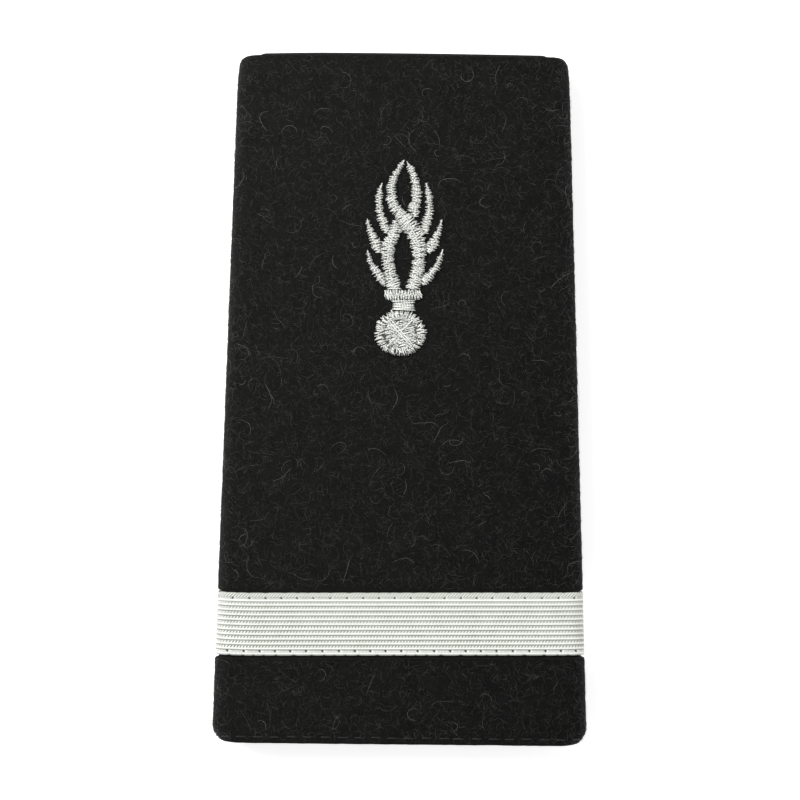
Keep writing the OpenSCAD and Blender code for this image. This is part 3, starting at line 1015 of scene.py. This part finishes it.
satin = {
    "pitch": 0.195 * mm,
    "radius": 0.068 * mm,
    "sides": 6,
    "points": 7,
    "overhang": (-0.27 * mm, 0.25 * mm),  # how far a stitch reaches past the edge of its pad
    "fullReach": 0.5 * mm,  # stitches shorter than this keep closer to the edge
    "leastReach": 0.75,
    "shortest": 0.06 * mm,
    "meeting": 0.24 * mm,  # a pad this close counts as a neighbour
    "meetingReach": 0.10 * mm,  # stitches reach this far towards it
    "zigzag": math.radians(11),
    "jitter": math.radians(9),
    "spread": 0.05 * mm,
    "tip": 0.14 * mm,  # how far a stitch at the tip of a flame reaches past it
    "longTip": 0.38 * mm,
    "neckOverhang": (-0.18 * mm, -0.04 * mm),
    "neckSteady": 0.2,  # the share of the lean and spread at the neck
    "tipLoose": 0.05,  # in millimetres
    "lift": 0.6,  # of a thread's middle over its pad, in radii
    "offPad": 0.3,  # and over the felt beside it
    "loose": (-0.03, 0.04),  # in millimetres
    "sunk": 0.05 * mm,  # how far the ends go into the felt
    "under": 0.15 * mm,  # how much lower the under layer lies
    "underShort": 0.6,  # and shorter at each end, as a share of that
    # painted shade: the under layer is the same thread, painted dark for the shade between the top stitches
    "shadedUnderTones": (0.0, 0.20),
    "topTones": (0.35, 1.0),
    # painted highlight: the long threads across the ball are painted brighter than the rest
    "litLongTones": (1.0, 1.2),
    "taper": np.array([0.35, 0.85, 1, 1, 1, 0.85, 0.35]),
    "fullLength": 0.9 * mm,  # shorter stitches are thinner
    "thinnest": 0.6,
    "shift": (-0.10 * mm, 0.0),  # the grenade stands this far from its place in the frame
    "reach": 4 * mm,  # how far a pad's edge is looked for, and in what steps
    "probe": 0.04 * mm,
    "ply": 0.40 * mm,  # length of one turn of the thread
    "plyShift": 9,  # in turns, from thread to thread
    "colours": ((0.12, 0.127, 0.108, 1), (0.98, 0.995, 0.945, 1)),
    # painted shade: the padding's dark colours
    "shadedPadColours": ((0.03, 0.03, 0.028, 1), (0.14, 0.142, 0.135, 1)),
    "padLow": 0.62,  # the padding, painted dark for the shade between the stitches, lower and narrower than the CAD pad
    "padNarrow": 0.80,
}


def padOutline(name):  # a pad's levels, and its left and right edge at each
    points = meshPoints(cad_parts[name])
    heights = np.sort(points[:, 1])
    near = 0.005 * mm  # points closer than this are one level
    levels = heights[np.concatenate([[True], np.diff(heights) > near])]
    rows = [points[np.abs(points[:, 1] - level) < near * 2, 0] for level in levels]
    return levels, *np.array([(row.min(), row.max()) for row in rows]).T


def topOf(name, x, y, miss):  # heights of the pad below each place
    heights = np.full(x.shape, miss)
    for number in np.ndindex(x.shape):
        found, height = lookDown(name, x[number], y[number])
        if found:
            heights[number] = height
    return heights


def stitchPaths(name, centres, angles, lower, overhang):  # stitches through centres, from edge to edge
    levels, left, right = padOutline(name)
    others = [other for other in padNames if other != name]
    steps = np.arange(0, satin["reach"], satin["probe"])
    heading = headings(angles)
    ends = []
    for side in (-1, 1):
        x = centres[:, :1] + side * heading[:, :1] * steps
        y = centres[:, 1:] + side * heading[:, 1:] * steps
        inside = (x > np.interp(y, levels, left)) & (x < np.interp(y, levels, right))
        inside &= (y > levels[0]) & (y < levels[-1])
        edge = steps[np.argmin(inside, axis=1)]
        beyond = centres + side * heading * (edge + satin["meeting"])[:, None]
        meets = onPads(others, beyond[:, 0], beyond[:, 1])
        share = np.clip(edge / satin["fullReach"], satin["leastReach"], 1)
        reach = edge + rng.uniform(*overhang, len(centres)) * share - satin["underShort"] * lower
        reach = np.where(meets, edge + satin["meetingReach"], np.maximum(reach, satin["shortest"]))
        ends.append(centres + side * heading * reach[:, None])
    return layThread(name, *between(*ends), lower)


def between(starts, stops):  # the points of each thread, closer together near its ends
    share = (1 - np.cos(np.linspace(0, math.pi, satin["points"]))) / 2
    x = starts[:, :1] + (stops[:, :1] - starts[:, :1]) * share
    y = starts[:, 1:] + (stops[:, 1:] - starts[:, 1:]) * share
    return x, y


def layThread(name, x, y, lower):
    z = topOf(name, x, y, frontZ + satin["offPad"] * satin["radius"]) + satin["lift"] * satin["radius"]
    z = z - lower + rng.uniform(*satin["loose"], (len(x), 1)) * mm
    z[:, [0, -1]] = frontZ - satin["sunk"]
    return np.stack([x, y, z], axis=-1)


def alongColumn(name, offset):  # places down the middle of a pad, and the angle across it at each
    levels, left, right = padOutline(name)
    middle = (left + right) / 2
    smooth = np.convolve(np.pad(middle, 2, mode="edge"), np.ones(5) / 5, mode="valid")
    middle[2:-2] = smooth[2:-2]
    lengths = np.concatenate([[0], np.cumsum(np.hypot(np.diff(middle), np.diff(levels)))])
    places = np.arange(satin["pitch"] * offset, lengths[-1], satin["pitch"])
    y = np.interp(places, lengths, levels)
    x = np.interp(y, levels, middle)
    lean = np.interp(y, levels, np.gradient(middle, levels))
    return np.column_stack([x, y]), -np.arctan(lean)


def columnPaths(name, lower, offset):
    centres, angles = alongColumn(name, offset)
    neck = name == "grenade_neck"
    steady = satin["neckSteady"] if neck else 1.0
    swing = zigzag(len(centres)) * satin["zigzag"]
    angles = angles + steady * (swing + rng.normal(0, satin["jitter"], len(centres)))
    inner = centres[1:-1]
    inner[:, 1] += steady * scatter(satin["spread"], len(inner))
    paths = stitchPaths(name, centres, angles, lower, satin["neckOverhang" if neck else "overhang"])
    if name in ("grenade_neck", "flame_arm_lower"):
        return paths
    forward = centres[-1] - centres[-4]
    forward = forward / np.hypot(*forward)
    starts = centres[[-5, -4]] + scatter(satin["tipLoose"], (2, 2)) * mm
    reach = satin["longTip" if name == "flame_arm_upper" else "tip"]
    stops = centres[-1] + forward * reach * np.array([[1.0], [0.5]])
    return np.concatenate([paths, layThread(name, *between(starts, stops), lower)])


collar = {
    "pitch": 0.21 * mm,
    "leanLeft": math.radians(14),
    "leanRight": math.radians(42),
    "zigzag": math.radians(11),
    "jitter": math.radians(8),
    "overhang": (-0.16 * mm, 0.04 * mm),
    "leanParts": (0.4, 0.72),  # where the left lean ends and the right one starts, over the width
}


def collarPaths(name, lower, offset):
    (left, low), (right, high) = [corner[:2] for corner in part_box(name)]
    edge = 0.12 * mm
    x = np.arange(left + edge + collar["pitch"] * offset, right - edge, collar["pitch"])
    share = (x - left) / (right - left)
    leftEnd, rightStart = collar["leanParts"]
    lean = collar["leanLeft"] * (1 - smoothStep(0, leftEnd, share))
    lean = lean + collar["leanRight"] * smoothStep(rightStart, 1, share)
    lean = lean + zigzag(len(x)) * collar["zigzag"]
    angles = math.pi / 2 + lean + rng.normal(0, collar["jitter"], len(x))
    centres = np.column_stack([x, np.full(len(x), (low + high) / 2)])
    return stitchPaths(name, centres, angles, lower, collar["overhang"])


ball = {
    "rimStitches": 98,
    "rimRadius": 1.05,  # thickness of a rim stitch beside the others
    "rimOuter": (-0.12, 0.05),  # the ends of the rim's stitches, in half sizes of the ball
    "rimInner": (0.58, 0.82),
    "rimLoose": 0.03,
    "rimSkew": 0.10,
    "rimSunk": 0.07 * mm,
    "neckReach": 0.15,
    "neckWidth": 0.5,
    "bulge": 0.035,  # how much fuller the ball is at its lower right
    "bulgeSide": math.radians(-57),
    "fillAngle": math.radians(14),
    "fillPitch": 0.21 * mm,
    "fillStitch": 0.9 * mm,
    "fillOverlap": 1.05,
    "fillLoose": 0.05 * mm,
    "fillInside": 0.06,  # how far the filling keeps inside the rim's stitches
    "fillLift": 0.4,
    "fillSunk": 0.09 * mm,
    "shift": (-0.03 * mm, 0.10 * mm),
    "under": 0.20 * mm,
    "tones": (0.40, 1.0),
    "long": [(-0.49, 0.60, 0.44, -0.62), (-0.38, 0.62, 0.53, -0.58)],  # from and to, in half sizes
    "short": [(0.50, 0.58, 0.05, 0.06), (-0.10, -0.15, -0.46, -0.60), (0.02, -0.24, -0.27, -0.55)],
    "longLift": 1.5,  # over the ball, in radii
    "shortLift": 1.1,
    "crossSunk": 0.22 * mm,
}

ballBox = np.array(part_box("grenade_ball"))[:, :2]
ballMiddle = ballBox.mean(axis=0) + ball["shift"]
ballHalf = (ballBox[1] - ballBox[0]) / 2


def rimPaths(name, lower, turned):
    count = ball["rimStitches"]
    angle = (np.arange(count) + turned) / count * 2 * math.pi + rng.normal(0, ball["rimLoose"], count)
    skew = rng.normal(0, ball["rimSkew"], count)
    outer = 1 + rng.uniform(*ball["rimOuter"], count) + ball["bulge"] * np.cos(angle - ball["bulgeSide"])
    outer = outer + ball["neckReach"] * bell(angle, math.pi / 2, ball["neckWidth"], 2)
    inner = rng.uniform(*ball["rimInner"], count)
    far = ballMiddle + ballHalf * headings(angle) * outer[:, None]
    near = ballMiddle + ballHalf * headings(angle + skew) * inner[:, None]
    x, y = between(far, near)
    paths = layThread(name, x, y, lower)
    paths[:, -1, 2] = topOf(name, x[:, -1], y[:, -1], frontZ) - ball["rimSunk"]
    return paths


def fillPaths(name):
    along = headings([ball["fillAngle"]])[0]
    across = np.array([-along[1], along[0]])
    stitch = ball["fillStitch"]
    starts, stops = [], []
    for row in np.arange(-ballHalf[0], ballHalf[0], ball["fillPitch"]):
        first = -ballHalf[0] - rng.uniform(0, stitch)
        for run in np.arange(first, ballHalf[0], stitch):
            starts.append(ballMiddle + across * row + along * run)
            stops.append(ballMiddle + across * row + along * (run + stitch * ball["fillOverlap"]))
    starts = np.array(starts) + rng.normal(0, ball["fillLoose"], (len(starts), 2))
    stops = np.array(stops) + rng.normal(0, ball["fillLoose"], (len(stops), 2))
    reach = [np.hypot(*((ends - ballMiddle) / ballHalf).T) for ends in (starts, stops)]
    kept = np.maximum(*reach) < ball["rimInner"][1] - ball["fillInside"]
    x, y = between(starts[kept], stops[kept])
    z = topOf(name, x, y, frontZ) + ball["fillLift"] * satin["radius"]
    z[:, [0, -1]] -= ball["fillSunk"]
    return np.stack([x, y, z], axis=-1)


def crossingPaths(name, kind):  # threads that cross the ball
    crossing = np.array(ball[kind])
    x, y = between(ballMiddle + ballHalf * crossing[:, :2], ballMiddle + ballHalf * crossing[:, 2:])
    z = topOf(name, x, y, frontZ)
    z = np.maximum(z, z[:, 1:-1].max(axis=1, keepdims=True)) + ball[kind + "Lift"] * satin["radius"]
    z[:, [0, -1]] -= ball["crossSunk"]
    return np.stack([x, y, z], axis=-1)


def satinFinish():
    thread = Finish("silverThread")
    fine = thread.noise(thread.placeInMm(), 5.0, 2.0)
    shade = thread.attribute("shade")
    # painted shade and highlight: the thread is painted lighter and darker along each turn of its ply
    ply = (thread.attribute("along") / satin["ply"] + shade * satin["plyShift"]).wave()
    tone = shade * 1.05 + (fine - 0.5) * 2.3 + (ply - 0.5) * 0.95 + 0.27
    thread.set(
        colour=thread.mixed(tone.clamped(), *satin["colours"]), roughness=0.33,
        specular=0.5, sheen=0.1, normal=thread.bump(fine, 0.3, 0.02 * mm),
    )
    return thread.material


def underlay(name):  # the pad itself, a little lower than its stitches, painted dark for the shade between them
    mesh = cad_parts[name].data.copy()
    pad = bpy.data.objects.new(name + "_pad", mesh)
    bpy.context.collection.objects.link(pad)
    points = meshPoints(pad)
    levels, left, right = padOutline(name)
    middle = np.interp(points[:, 1], levels, (left + right) / 2)
    points[:, 0] = middle + (points[:, 0] - middle) * satin["padNarrow"]
    points[:, 2] = frontZ + (points[:, 2] - frontZ) * satin["padLow"]
    setPoints(pad, points)
    mesh.materials.clear()
    mesh.materials.append(shadedPadMaterial)
    inEditMode(pad, mergeDoubles)
    return pad


def stitchesOf(name):  # the top layer comes first
    if name == "grenade_ball":
        top = np.concatenate([rimPaths(name, 0, 0), fillPaths(name), crossingPaths(name, "short")])
        return {
            "satin": (top, ball["tones"]),
            # the under layer in painted shade
            "under": (rimPaths(name, ball["under"], 0.5), satin["shadedUnderTones"]),
            # the long threads in a painted highlight
            "long": (crossingPaths(name, "long"), satin["litLongTones"]),
        }
    make = collarPaths if name == "grenade_collar" else columnPaths
    return {
        "satin": (make(name, 0, 0.5), satin["topTones"]),
        # the under layer in painted shade
        "under": (make(name, satin["under"], 1.0), satin["shadedUnderTones"]),
    }


def embroider(name, stitches):
    thick = satin["radius"] * (ball["rimRadius"] if name == "grenade_ball" else 1.0)
    layers = []
    for kind, (paths, tones) in stitches.items():
        length = np.hypot(*(paths[:, -1, :2] - paths[:, 0, :2]).T)
        full = np.clip(length / satin["fullLength"], satin["thinnest"], 1)
        widths = thick * full[:, None] * satin["taper"]
        layers.append(sweepThreads(
            f"{name}_{kind}", paths, widths, satin["sides"], satinMaterial, tones, plied=True,
        ))
    layers.append(underlay(name))
    piece = layers[0]
    pickOnly(piece)
    for layer in layers[1:]:
        layer.select_set(True)
    bpy.ops.object.join()
    points = meshPoints(piece)
    points[:, :2] += satin["shift"]
    setPoints(piece, points)
    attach(piece, "root")
    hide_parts(name)
    return sum(len(paths) for paths, tones in stitches.values())


satinMaterial = satinFinish()
# painted shade: the padding under the stitches is painted dark
shadedPadMaterial = threadFinish("shadedPadThread", 5.0, satin["shadedPadColours"], 0.7, 0.2, (0.5, 0.05 * mm))
stitches = {name: stitchesOf(name) for name in padNames}  # before any pad is replaced and hidden
stitchCount = sum(embroider(name, stitches[name]) for name in padNames)
print("slide: grenade embroidered with", stitchCount, "stitches")
